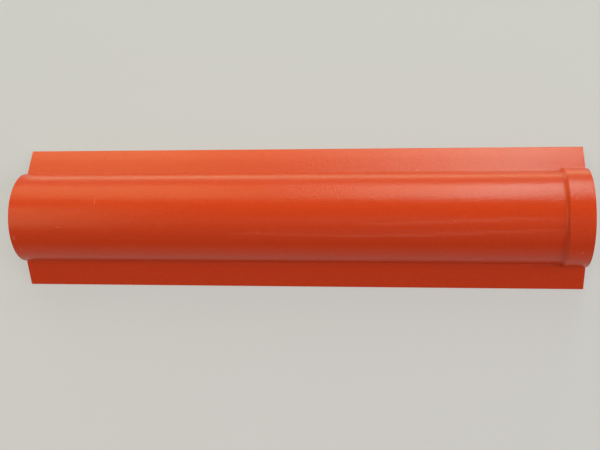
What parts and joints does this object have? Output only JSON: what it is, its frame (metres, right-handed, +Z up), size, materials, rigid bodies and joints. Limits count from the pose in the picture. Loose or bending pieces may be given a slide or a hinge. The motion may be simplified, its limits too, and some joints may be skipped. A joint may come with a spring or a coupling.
{
  "type": "ridge tile",
  "caption": "Half-round ridge tile in moulded resin, with flat sloping flanges along both sides and a lapping socket at one end.",
  "frame": {"origin": "mid-length and mid-width of the tile, on the level floor that its two flange edges stand on", "axes": "+X along the tile towards the socket, +Y across it, +Z up through the crown of the back"},
  "size_m": [1, 0.2482, 0.1105],
  "materials": {
    "tile_red_resin": "through-coloured tile-red resin, semi-gloss with a fine grain"
  },
  "bodies": {
    "root": {"ridge_tile": "tile_red_resin"}
  },
  "joints": []
}
